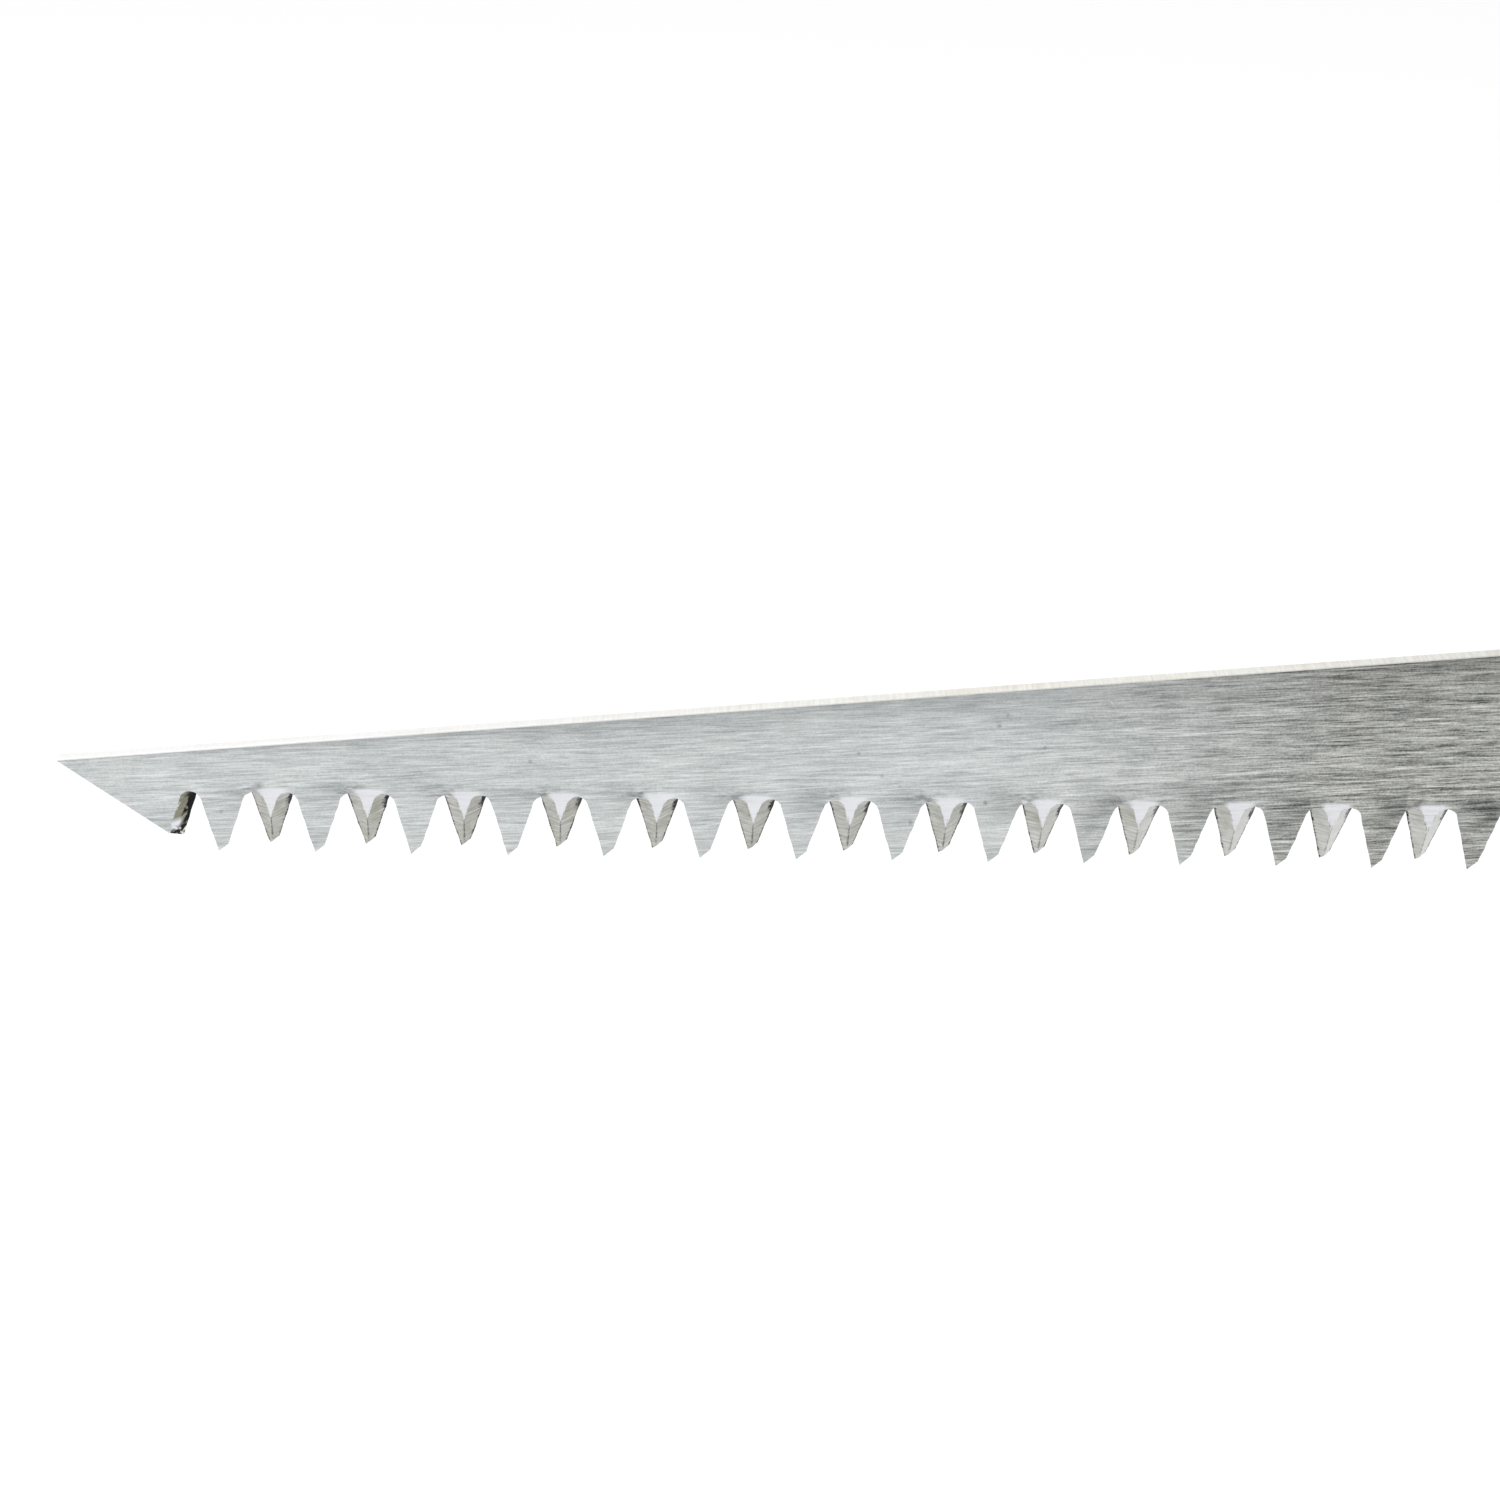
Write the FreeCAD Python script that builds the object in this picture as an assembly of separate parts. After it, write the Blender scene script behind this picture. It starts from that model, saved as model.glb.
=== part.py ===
"""Compass saw: a tapered toothed blade clamped in the kerf of a wooden pistol-grip handle.

Millimetres. +X runs along the tooth line from the toe to the handle, +Z points up from the teeth to
the spine, and Y = 0 is the middle of the blade. The near side, with the wing nut, is -Y and the far
side is +Y. The pieces are drawn with Z = 0 on the line of the tooth tips and X = 0 where the blade
meets the handle. They are moved as they are written out, so that the finished model has its origin
in the middle of the hanging hole.
"""

import FreeCAD, Part
import math
import os

from FreeCAD import Vector

# ---- blade ---------------------------------------------------------------------------------------
BLADE_LENGTH = 300.0         # toe point to the front of the handle
BLADE_THICKNESS = 1.0
TOE_HEIGHT = 6.3             # toe point above the tooth tips
TOE_ANGLE = 36.3             # the toe's slanting edge, from the tooth line
SPINE_ANGLE = 5.4            # spine to tooth line
TOE_TO_FIRST_TIP = 10.25     # along the tooth line
SPINE_EDGE_BREAK = 0.12      # small flat that takes the sharpness off the spine's two edges
HEEL_LAND = 12.0             # toothless length in front of the handle
HEEL_LIFT = 0.9              # the heel's lower edge above the tooth tips

# ---- teeth ---------------------------------------------------------------------------------------
TOOTH_PITCH = 25.4 / 8       # eight teeth to the inch
TIP_WIDTH = 0.48             # length of a tooth's tip before the third facet is ground
FRONT_FLANK = 15.5           # flank that faces the toe, from the vertical
BACK_FLANK = 19.0            # flank that faces the handle, from the vertical
GULLET_RADIUS = 0.72
FLEAM = 44.0                 # how far each gullet is ground away from square across the blade
TIP_BEVEL = 40.0             # third facet, which tops each tooth
TIP_FLEAM = 15.0             # the same facet, falling towards the outside of the set
SET_EACH_SIDE = 0.25         # how far a tip leans out of the blade
TIP_STOCK = 1.0              # metal below the tooth line before the third facets are ground

# ---- tang and its slot ---------------------------------------------------------------------------
TANG_PAST_PIN = 12.0         # blade behind the guide pin
TANG_BOTTOM = 6.0            # tang's lower edge above the tooth tips
TANG_RAMP = 9.0              # length of the slope from the heel up to the tang, in front of the handle
SLOT_CLEARANCE = 0.3         # slot wall to bolt or pin, each side

# ---- handle --------------------------------------------------------------------------------------
HANDLE_THICKNESS = 22.0
HANDLE_EDGE_RADIUS = 7.0     # rounding of the whole outline on both sides
NOSE_COVER = 10.0            # wood above the tang at the front
KERF_SIDE_CLEARANCE = 0.06   # blade to kerf wall, each side
KERF_END_CLEARANCE = 1.5     # blade to the end of the kerf
KERF_TOP_CLEARANCE = 0.25    # tang to the roof of the kerf
KERF_CORNER_RADIUS = 3.0

# ---- clamp ---------------------------------------------------------------------------------------
BOLT_RADIUS = 3.0            # M6
BOLT_PITCH = 1.0
BOLT_X = 26.0                # bolt axis behind the front of the handle
BOLT_HOLE_CLEARANCE = 0.25
THREAD_DEPTH = 0.45
THREAD_CREST = 0.25          # flat at the crest, as a share of the pitch
THREAD_LENGTH = 17.0
BOLT_END_PROUD = 3.0         # bolt past the top of the wing nut's boss
HEAD_OVERHANG = 4.5          # bolt head past the shank
HEAD_HEIGHT = 3.4
NECK_EXTRA = 0.1             # square neck that stops the bolt turning, past the shank on each side
NECK_LENGTH = 4.0
NECK_CLEARANCE = 0.15
PLATE_LENGTH = 32.0
PLATE_WIDTH = 18.0
PLATE_THICKNESS = 1.5
PLATE_CLEARANCE = 0.1        # plate to its recess, all round
PLATE_END_FLAT = 0.02        # straight left between the two rounded corners of a plate's end
SCREW_INSET = 4.0            # plate screw from the end of its plate
SCREW_RADIUS = 1.3
SCREW_HEAD_RADIUS = 2.6
SCREW_LENGTH = 8.0
SCREW_SLOT_WIDTH = 0.7
SCREW_SLOT_DEPTH = 0.5
SCREW_SLOT_TURNS = (35.0, 105.0)     # how the two screws of a plate came to rest, from the vertical
WASHER_OVERHANG = 4.0        # washer past the bolt
WASHER_THICKNESS = 1.2
WASHER_EDGE_RADIUS = 0.3
WASHER_CLEARANCE = 0.25
NUT_CLEARANCE = 0.05         # bolt thread to the nut's bore
NUT_BASE_WALL = 2.9
NUT_TOP_WALL = 1.7
NUT_HEIGHT = 8.0
NUT_FLANGE_HEIGHT = 1.6
WING_SPAN = 31.0
WING_HEIGHT = 15.5
WING_THICKNESS = 3.0
WING_TIP_WIDTH = 5.6
WING_EDGE_RADIUS = 0.9
WING_TURN = 28.0             # how the tightened wings lie, from the tooth line

# ---- guide pin -----------------------------------------------------------------------------------
PIN_RADIUS = BOLT_RADIUS     # the pin and the bolt run in the same slot
BOLT_TO_PIN = 26.0
PIN_END_CHAMFER = 0.4

# ---- hanging hole and its eyelet -----------------------------------------------------------------
HANG_BEHIND_KERF = 55.5
HANG_Z = -60.0
HANG_RADIUS = 4.0
EYELET_WALL = 0.8
EYELET_FLANGE_WIDTH = 2.2
EYELET_FLANGE_THICKNESS = 0.8
EYELET_ROLL_RADIUS = 0.56    # rounding of the flanges' outer edges

MARGIN = 5.0                 # how far cutting shapes run past what they cut
NEARLY = 1e-6                # lengths that differ by less are the same


# ---- helpers -------------------------------------------------------------------------------------
def tangent(degrees):
    return math.tan(math.radians(degrees))


def outline(corners, y=0.0):
    """Closed wire at a constant Y through (x, z, radius) corners, each one rounded to its radius."""
    points = [Vector(x, y, z) for x, z, _ in corners]
    starts, ends, middles = [], [], []
    for i, (_, _, radius) in enumerate(corners):
        before, here, after = points[i - 1], points[i], points[(i + 1) % len(points)]
        to_before = (before - here).normalize()
        to_after = (after - here).normalize()
        half = to_before.getAngle(to_after) / 2
        if radius <= 0:
            starts.append(here)
            ends.append(here)
            middles.append(None)
            continue
        reach = radius / math.tan(half)
        bisector = (to_before + to_after).normalize()
        centre = here + bisector * (radius / math.sin(half))
        starts.append(here + to_before * reach)
        ends.append(here + to_after * reach)
        middles.append(centre - bisector * radius)
    edges = []
    for i, middle in enumerate(middles):
        if middle is not None:
            edges.append(Part.Arc(starts[i], middle, ends[i]).toShape())
        following = starts[(i + 1) % len(points)]
        if ends[i].distanceToPoint(following) > NEARLY:
            edges.append(Part.LineSegment(ends[i], following).toShape())
    return Part.Wire(edges)


def slab(corners, low, high):
    """Solid between Y = low and Y = high with the given (x, z, radius) outline."""
    return Part.Face(outline(corners, low)).extrude(Vector(0, high - low, 0))


def rod(radius, x, z, low, high):
    """Cylinder along Y between Y = low and Y = high."""
    return Part.makeCylinder(radius, high - low, Vector(x, low, z), Vector(0, 1, 0))


def turned(profile, x, z):
    """Solid of revolution about the Y axis through (x, z), from (radius, y) points."""
    points = [Vector(x + r, y, z) for r, y in profile]
    wire = Part.makePolygon(points + points[:1])
    return Part.Face(wire).revolve(Vector(x, 0, z), Vector(0, 1, 0), 360)


# ---- shared places -------------------------------------------------------------------------------
TOE_X = -BLADE_LENGTH
HALF_BLADE = BLADE_THICKNESS / 2
HALF_HANDLE = HANDLE_THICKNESS / 2
PIN_X = BOLT_X + BOLT_TO_PIN
TANG_END = PIN_X + TANG_PAST_PIN
KERF_END = TANG_END + KERF_END_CLEARANCE
HANG_X = KERF_END + HANG_BEHIND_KERF
SLOT_HALF_WIDTH = max(BOLT_RADIUS, PIN_RADIUS) + SLOT_CLEARANCE
NECK_WIDTH = 2 * (BOLT_RADIUS + NECK_EXTRA)
HEAD_RADIUS = BOLT_RADIUS + HEAD_OVERHANG
WASHER_RADIUS = BOLT_RADIUS + WASHER_OVERHANG
NUT_BASE_RADIUS = BOLT_RADIUS + NUT_BASE_WALL
NUT_TOP_RADIUS = BOLT_RADIUS + NUT_TOP_WALL
NUT_FACE_Y = -(HALF_HANDLE + WASHER_THICKNESS)
BOLT_END_Y = NUT_FACE_Y - NUT_HEIGHT - BOLT_END_PROUD


def spine_z(x):
    return TOE_HEIGHT + (x - TOE_X) * tangent(SPINE_ANGLE)


TANG_TOP = spine_z(0)
BOLT_Z = (TANG_BOTTOM + TANG_TOP) / 2


def back_half_width(depth):
    """Gullet centre to the back flank of the tooth before it, at a depth below the gullet bottom."""
    angle = math.radians(BACK_FLANK)
    return GULLET_RADIUS / math.cos(angle) + (depth - GULLET_RADIUS) * math.tan(angle)


def front_half_width(depth):
    """Gullet centre to the front flank of the tooth after it, at a depth below the gullet bottom."""
    angle = math.radians(FRONT_FLANK)
    return GULLET_RADIUS / math.cos(angle) + (depth - GULLET_RADIUS) * math.tan(angle)


# The two fleamed gullets beside a tooth leave TIP_WIDTH between them at its tip.
FLEAM_SHIFT = HALF_BLADE * tangent(FLEAM)
GULLET_WIDTH = back_half_width(GULLET_RADIUS) + front_half_width(GULLET_RADIUS)
TOOTH_WIDTH = TOOTH_PITCH + 2 * FLEAM_SHIFT - GULLET_WIDTH
TOOTH_TAPER = tangent(BACK_FLANK) + tangent(FRONT_FLANK)
TOOTH_DEPTH = GULLET_RADIUS + (TOOTH_WIDTH - TIP_WIDTH) / TOOTH_TAPER
GULLET_Z = TOOTH_DEPTH
BEND_Z = GULLET_Z - GULLET_RADIUS
FIRST_TIP_X = TOE_X + TOE_TO_FIRST_TIP
FIRST_GULLET_X = FIRST_TIP_X + FLEAM_SHIFT - front_half_width(TOOTH_DEPTH)
TOOTH_COUNT = int((-HEEL_LAND - FIRST_GULLET_X) / TOOTH_PITCH)


def gullet_x(i):
    return FIRST_GULLET_X + i * TOOTH_PITCH


def lean(i):
    """+1 where a gullet runs from near-left to far-right, -1 where it runs the other way."""
    return 1 if i % 2 == 0 else -1


# ---- blade ---------------------------------------------------------------------------------------
def gullet_cutter(i):
    """The slanting rounded channel ground between two teeth."""
    deep = TOOTH_DEPTH + MARGIN / 2
    back = math.radians(BACK_FLANK)
    front = math.radians(FRONT_FLANK)
    centre_z = GULLET_Z - GULLET_RADIUS
    reach = HALF_BLADE + SET_EACH_SIDE + MARGIN
    sideways = lean(i) * tangent(FLEAM)
    x = gullet_x(i) - sideways * reach
    y = -reach
    top = Vector(x, y, GULLET_Z)
    back_touch_x = x - GULLET_RADIUS * math.cos(back)
    back_touch = Vector(back_touch_x, y, centre_z + GULLET_RADIUS * math.sin(back))
    front_touch_x = x + GULLET_RADIUS * math.cos(front)
    front_touch = Vector(front_touch_x, y, centre_z + GULLET_RADIUS * math.sin(front))
    back_low = Vector(x - back_half_width(deep), y, GULLET_Z - deep)
    front_low = Vector(x + front_half_width(deep), y, GULLET_Z - deep)
    wire = Part.Wire([
        Part.LineSegment(back_low, back_touch).toShape(),
        Part.Arc(back_touch, top, front_touch).toShape(),
        Part.LineSegment(front_touch, front_low).toShape(),
        Part.LineSegment(front_low, back_low).toShape(),
    ])
    return Part.Face(wire).extrude(Vector(2 * reach * sideways, 2 * reach, 0))


def leaned(solid, set_side):
    """The flat-faced solid with each point pushed towards set_side, the lower the further."""
    slope = set_side * SET_EACH_SIDE / BEND_Z

    def moved(p):
        return Vector(p.x, p.y + slope * (BEND_Z - p.z), p.z)

    faces = []
    for face in solid.Faces:
        corners = [moved(v.Point) for v in face.OuterWire.OrderedVertexes]
        faces.append(Part.Face(Part.makePolygon(corners + corners[:1])))
    return Part.Solid(Part.Shell(faces))


def tooth(i):
    """One tooth below the bend line, between gullets i and i + 1, ground and then set."""
    set_side = -lean(i)
    low = -TIP_STOCK
    left = gullet_x(i)
    right = gullet_x(i + 1)
    shift = lean(i) * FLEAM_SHIFT
    plan = [
        Vector(left - shift, -HALF_BLADE, low),
        Vector(right + shift, -HALF_BLADE, low),
        Vector(right - shift, HALF_BLADE, low),
        Vector(left + shift, HALF_BLADE, low),
    ]
    blank = Part.Face(Part.makePolygon(plan + plan[:1])).extrude(Vector(0, 0, BEND_Z - low))
    ground = blank.cut(gullet_cutter(i)).cut(gullet_cutter(i + 1)).cut(tip_cutter(i, set_side))
    return leaned(ground.Solids[0], set_side)


def tip_cutter(i, set_side):
    """Everything under the third facet, which starts at the front outer corner of the tooth tip."""
    corner = Vector(gullet_x(i) - FLEAM_SHIFT + front_half_width(TOOTH_DEPTH), set_side * HALF_BLADE, 0)
    size = 4 * MARGIN
    block = Part.makeBox(size, size, MARGIN, Vector(-size / 2, -size / 2, -MARGIN))
    block.rotate(Vector(), Vector(0, 1, 0), -TIP_BEVEL)
    block.rotate(Vector(), Vector(1, 0, 0), -set_side * TIP_FLEAM)
    block.translate(corner)
    return block


def blade():
    toe_bottom_x = gullet_x(0)
    toe_bottom_z = TOE_HEIGHT - (toe_bottom_x - TOE_X) * tangent(TOE_ANGLE)
    heel_x = gullet_x(TOOTH_COUNT)
    corners = [
        (TOE_X, TOE_HEIGHT, 0),
        (toe_bottom_x, toe_bottom_z, 0),
        (toe_bottom_x, BEND_Z, 0),
        (heel_x, BEND_Z, 0),
        (heel_x, HEEL_LIFT, 0),
        (-TANG_RAMP, HEEL_LIFT, 4.0),
        (0.0, TANG_BOTTOM, 3.0),
        (TANG_END, TANG_BOTTOM, 2.0),
        (TANG_END, TANG_TOP, 3.0),
        (0.0, TANG_TOP, 0),
    ]
    plate = slab(corners, -HALF_BLADE, HALF_BLADE)
    spine_edges = [
        e for e in plate.Edges
        if e.Length > BLADE_LENGTH and min(v.Z for v in e.Vertexes) > GULLET_Z
    ]
    plate = plate.makeChamfer(SPINE_EDGE_BREAK, spine_edges)
    slot = slab(
        [
            (BOLT_X, BOLT_Z - SLOT_HALF_WIDTH, 0),
            (TANG_END + MARGIN, BOLT_Z - SLOT_HALF_WIDTH, 0),
            (TANG_END + MARGIN, BOLT_Z + SLOT_HALF_WIDTH, 0),
            (BOLT_X, BOLT_Z + SLOT_HALF_WIDTH, 0),
        ],
        -BLADE_THICKNESS,
        BLADE_THICKNESS,
    )
    closed_end = rod(SLOT_HALF_WIDTH, BOLT_X, BOLT_Z, -BLADE_THICKNESS, BLADE_THICKNESS)
    plate = plate.cut([gullet_cutter(i) for i in range(TOOTH_COUNT + 1)] + [slot, closed_end])
    return plate.fuse([tooth(i) for i in range(TOOTH_COUNT)]).removeSplitter()


# ---- handle --------------------------------------------------------------------------------------
def handle_corners():
    """The handle's side outline as (x, z, radius), clockwise from the front lower corner."""
    top = TANG_TOP + NOSE_COVER
    nose = [
        (3.0, -5.0, 9.5),
        (-3.0, top, 12.0),
    ]
    upper_horn = [
        (KERF_END - 7.5, top + 10.0, 90.0),
        (KERF_END + 36.5, top + 17.0, 12.0),
        (KERF_END + 53.5, top + 5.0, 9.2),
        (KERF_END + 29.5, top - 12.0, 20.0),
    ]
    palm = [
        (KERF_END + 46.0, -6.0, 90.0),
        (KERF_END + 54.5, -44.0, 40.0),
    ]
    butt = [
        (KERF_END + 83.5, -58.0, 9.2),
        (KERF_END + 80.5, -79.0, 12.0),
        (KERF_END + 47.5, -82.0, 30.0),
        (KERF_END + 26.5, -71.0, 11.0),
    ]
    fingers = [
        (KERF_END + 29.5, -44.0, 30.0),
        (KERF_END + 10.5, -20.0, 30.0),
        (KERF_END + 8.5, 4.0, 12.0),
        (KERF_END - 15.5, -2.0, 16.0),
        (BOLT_X + 6.0, -10.0, 24.0),
    ]
    return nose + upper_horn + palm + butt + fingers


def kerf():
    """Saw cut for the tang, open at the front and underneath. The tang slides under its level roof."""
    half = HALF_BLADE + KERF_SIDE_CLEARANCE
    front = -MARGIN - HALF_HANDLE
    roof = TANG_TOP + KERF_TOP_CLEARANCE
    bottom = -4 * MARGIN
    corners = [
        (front, bottom, 0),
        (front, roof, 0),
        (KERF_END, roof, KERF_CORNER_RADIUS),
        (KERF_END, bottom, 0),
    ]
    return slab(corners, -half, half)


def plate_corners(grow=0.0):
    """Corners of a cheek plate around the bolt, grown all round for its recess."""
    half_length = PLATE_LENGTH / 2 + grow
    half_width = PLATE_WIDTH / 2 + grow
    radius = half_width - PLATE_END_FLAT / 2
    return [
        (BOLT_X - half_length, BOLT_Z - half_width, radius),
        (BOLT_X - half_length, BOLT_Z + half_width, radius),
        (BOLT_X + half_length, BOLT_Z + half_width, radius),
        (BOLT_X + half_length, BOLT_Z - half_width, radius),
    ]


def handle():
    body = slab(handle_corners(), -HALF_HANDLE, HALF_HANDLE)
    rims = [e for e in body.Edges if abs(abs(e.CenterOfMass.y) - HALF_HANDLE) < NEARLY]
    body = body.makeFillet(HANDLE_EDGE_RADIUS, rims)
    outside = HALF_HANDLE + MARGIN
    recess_floor = HALF_HANDLE - PLATE_THICKNESS
    near_recess = slab(plate_corners(PLATE_CLEARANCE), -outside, -recess_floor)
    far_recess = slab(plate_corners(PLATE_CLEARANCE), recess_floor, outside)
    bolt_hole = rod(BOLT_RADIUS + BOLT_HOLE_CLEARANCE, BOLT_X, BOLT_Z, -outside, outside)
    neck_half = NECK_WIDTH / 2 + NECK_CLEARANCE
    neck_hole = slab(square_corners(neck_half), HALF_HANDLE - NECK_LENGTH - NECK_CLEARANCE, outside)
    pin_hole = rod(PIN_RADIUS, PIN_X, BOLT_Z, -outside, outside)
    hang_hole = rod(HANG_RADIUS + EYELET_WALL, HANG_X, HANG_Z, -outside, outside)
    screw_holes = [screw(x, side) for x in plate_screw_places() for side in (-1, 1)]
    holes = [kerf(), near_recess, far_recess, bolt_hole, neck_hole, pin_hole, hang_hole]
    return body.cut(holes + screw_holes)


# ---- clamp hardware ------------------------------------------------------------------------------
def square_corners(half):
    return [
        (BOLT_X - half, BOLT_Z - half, 0),
        (BOLT_X - half, BOLT_Z + half, 0),
        (BOLT_X + half, BOLT_Z + half, 0),
        (BOLT_X + half, BOLT_Z - half, 0),
    ]


def plate_screw_places():
    offset = PLATE_LENGTH / 2 - SCREW_INSET
    return (BOLT_X - offset, BOLT_X + offset)


def screw(x, side):
    """Countersunk wood screw driven into the handle from one side, without its slot."""
    face = side * HALF_HANDLE
    cone_depth = SCREW_HEAD_RADIUS - SCREW_RADIUS
    profile = [
        (0, face),
        (SCREW_HEAD_RADIUS, face),
        (SCREW_RADIUS, face - side * cone_depth),
        (SCREW_RADIUS, face - side * (SCREW_LENGTH - 2 * SCREW_RADIUS)),
        (0, face - side * SCREW_LENGTH),
    ]
    return turned(profile, x, BOLT_Z)


def plate_screws(side):
    """The two screws of one cheek plate, each with its driving slot."""
    screws = []
    for x, turn in zip(plate_screw_places(), SCREW_SLOT_TURNS):
        slot = Part.makeBox(
            SCREW_SLOT_WIDTH, 2 * SCREW_SLOT_DEPTH, 2 * SCREW_HEAD_RADIUS + MARGIN,
            Vector(-SCREW_SLOT_WIDTH / 2, -SCREW_SLOT_DEPTH, -SCREW_HEAD_RADIUS - MARGIN / 2),
        )
        slot.rotate(Vector(), Vector(0, 1, 0), turn)
        slot.translate(Vector(x, side * HALF_HANDLE, BOLT_Z))
        screws.append(screw(x, side).cut(slot))
    return Part.makeCompound(screws)


def cheek_plate(side):
    """Plate let in flush with the handle's side. The far one has a square hole for the bolt's neck."""
    low, high = sorted((side * HALF_HANDLE, side * (HALF_HANDLE - PLATE_THICKNESS)))
    plate = slab(plate_corners(), low, high)
    if side > 0:
        hole = slab(square_corners(NECK_WIDTH / 2 + NECK_CLEARANCE), low - MARGIN, high + MARGIN)
    else:
        hole = rod(BOLT_RADIUS + BOLT_HOLE_CLEARANCE, BOLT_X, BOLT_Z, low - MARGIN, high + MARGIN)
    return plate.cut([hole] + [screw(x, side) for x in plate_screw_places()])


def clamp_bolt():
    """Coach bolt: domed head on the far side, square neck, shank and a thread towards the near side."""
    dome_radius = (HEAD_RADIUS ** 2 + HEAD_HEIGHT ** 2) / (2 * HEAD_HEIGHT)
    dome = Part.makeSphere(dome_radius, Vector(BOLT_X, HALF_HANDLE + HEAD_HEIGHT - dome_radius, BOLT_Z))
    head = dome.common(rod(HEAD_RADIUS, BOLT_X, BOLT_Z, HALF_HANDLE, HALF_HANDLE + HEAD_HEIGHT + MARGIN))
    neck = slab(square_corners(NECK_WIDTH / 2), HALF_HANDLE - NECK_LENGTH, HALF_HANDLE)
    thread_top = BOLT_END_Y + THREAD_LENGTH
    shank = rod(BOLT_RADIUS, BOLT_X, BOLT_Z, thread_top, HALF_HANDLE - NECK_LENGTH)
    profile = [(0, thread_top), (BOLT_RADIUS, thread_top)]
    crest = BOLT_PITCH * THREAD_CREST / 2
    for i in range(int(THREAD_LENGTH / BOLT_PITCH) - 1):
        y = thread_top - i * BOLT_PITCH
        profile += [
            (BOLT_RADIUS, y - crest),
            (BOLT_RADIUS - THREAD_DEPTH, y - BOLT_PITCH / 2),
            (BOLT_RADIUS, y - BOLT_PITCH + crest),
        ]
    profile.append((BOLT_RADIUS, BOLT_END_Y + BOLT_PITCH))
    profile.append((BOLT_RADIUS - BOLT_PITCH, BOLT_END_Y))
    profile.append((0, BOLT_END_Y))
    thread = turned(profile, BOLT_X, BOLT_Z)
    return head.fuse([neck, shank, thread]).removeSplitter()


def washer():
    disc = rod(WASHER_RADIUS, BOLT_X, BOLT_Z, NUT_FACE_Y, -HALF_HANDLE)
    disc = disc.makeFillet(WASHER_EDGE_RADIUS, [e for e in disc.Edges if e.Closed])
    hole_radius = BOLT_RADIUS + WASHER_CLEARANCE
    return disc.cut(rod(hole_radius, BOLT_X, BOLT_Z, NUT_FACE_Y - MARGIN, -HALF_HANDLE + MARGIN))


def wing_nut():
    """Boss with two raised wings, drawn standing up from its seat and then laid against the washer."""
    boss = Part.makeCylinder(NUT_BASE_RADIUS, NUT_FLANGE_HEIGHT)
    cone = Part.makeCone(NUT_BASE_RADIUS, NUT_TOP_RADIUS, NUT_HEIGHT - NUT_FLANGE_HEIGHT)
    cone.translate(Vector(0, 0, NUT_FLANGE_HEIGHT))
    half_span = WING_SPAN / 2
    right = [
        (NUT_BASE_RADIUS, NUT_FLANGE_HEIGHT, 1.0),
        (half_span, WING_HEIGHT / 2, 3.0),
        (half_span, WING_HEIGHT, 2.8),
        (half_span - WING_TIP_WIDTH, WING_HEIGHT, 2.6),
        (NUT_TOP_RADIUS, NUT_HEIGHT, 1.5),
    ]
    left = [(-x, z, radius) for x, z, radius in reversed(right)]
    wings = slab(right + left, -WING_THICKNESS / 2, WING_THICKNESS / 2)
    rims = [e for e in wings.Edges if abs(abs(e.CenterOfMass.y) - WING_THICKNESS / 2) < NEARLY]
    wings = wings.makeFillet(WING_EDGE_RADIUS, rims)
    nut = boss.fuse([cone, wings]).removeSplitter()
    bore = Part.makeCylinder(BOLT_RADIUS + NUT_CLEARANCE, NUT_HEIGHT + 2 * MARGIN, Vector(0, 0, -MARGIN))
    nut = nut.cut(bore)
    nut.rotate(Vector(), Vector(0, 0, 1), WING_TURN)
    nut.rotate(Vector(), Vector(1, 0, 0), 90)
    nut.translate(Vector(BOLT_X, NUT_FACE_Y, BOLT_Z))
    return nut


def guide_pin():
    """Steel dowel across the kerf that runs in the blade's slot behind the bolt."""
    body = rod(PIN_RADIUS, PIN_X, BOLT_Z, -HALF_HANDLE, HALF_HANDLE)
    rims = [e for e in body.Edges if abs(abs(e.CenterOfMass.y) - HALF_HANDLE) < NEARLY]
    return body.makeChamfer(PIN_END_CHAMFER, rims)


def eyelet():
    """Tube through the hanging hole with a rolled flange on each side."""
    outer = HANG_RADIUS + EYELET_WALL
    flange = outer + EYELET_FLANGE_WIDTH
    face = HALF_HANDLE + EYELET_FLANGE_THICKNESS
    body = rod(outer, HANG_X, HANG_Z, -face, face)
    flanges = [
        rod(flange, HANG_X, HANG_Z, -face, -HALF_HANDLE),
        rod(flange, HANG_X, HANG_Z, HALF_HANDLE, face),
    ]
    body = body.fuse(flanges).removeSplitter()
    rims = [e for e in body.Edges if e.Closed and abs(abs(e.CenterOfMass.y) - face) < NEARLY]
    body = body.makeFillet(EYELET_ROLL_RADIUS, rims)
    return body.cut(rod(HANG_RADIUS, HANG_X, HANG_Z, -face - MARGIN, face + MARGIN))


# ---- output --------------------------------------------------------------------------------------
def main():
    os.makedirs("parts", exist_ok=True)
    nodes = {
        "blade": blade(),
        "handle": handle(),
        "clamp_bolt": clamp_bolt(),
        "clamp_washer": washer(),
        "wing_nut": wing_nut(),
        "near_cheek_plate": cheek_plate(-1),
        "far_cheek_plate": cheek_plate(1),
        "near_plate_screws": plate_screws(-1),
        "far_plate_screws": plate_screws(1),
        "guide_pin": guide_pin(),
        "hanging_eyelet": eyelet(),
    }
    for name, shape in nodes.items():
        placed = shape.copy()
        placed.translate(Vector(-HANG_X, 0, -HANG_Z))
        placed.exportStep(f"parts/{name}.step")
        print(name, placed.isValid(), len(placed.Solids), "solids", round(placed.Volume, 1), "mm3")


main()
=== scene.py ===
"""Looks for the compass saw: a detailed blade, wood and metal finishes, a white studio and the camera.

Metres, in the frame of the CAD model: the toe points along -X, the teeth along -Z and the wing nut
along -Y.
"""

import math

import bmesh
import bpy
import numpy as np
from mathutils import Matrix, Vector


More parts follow.
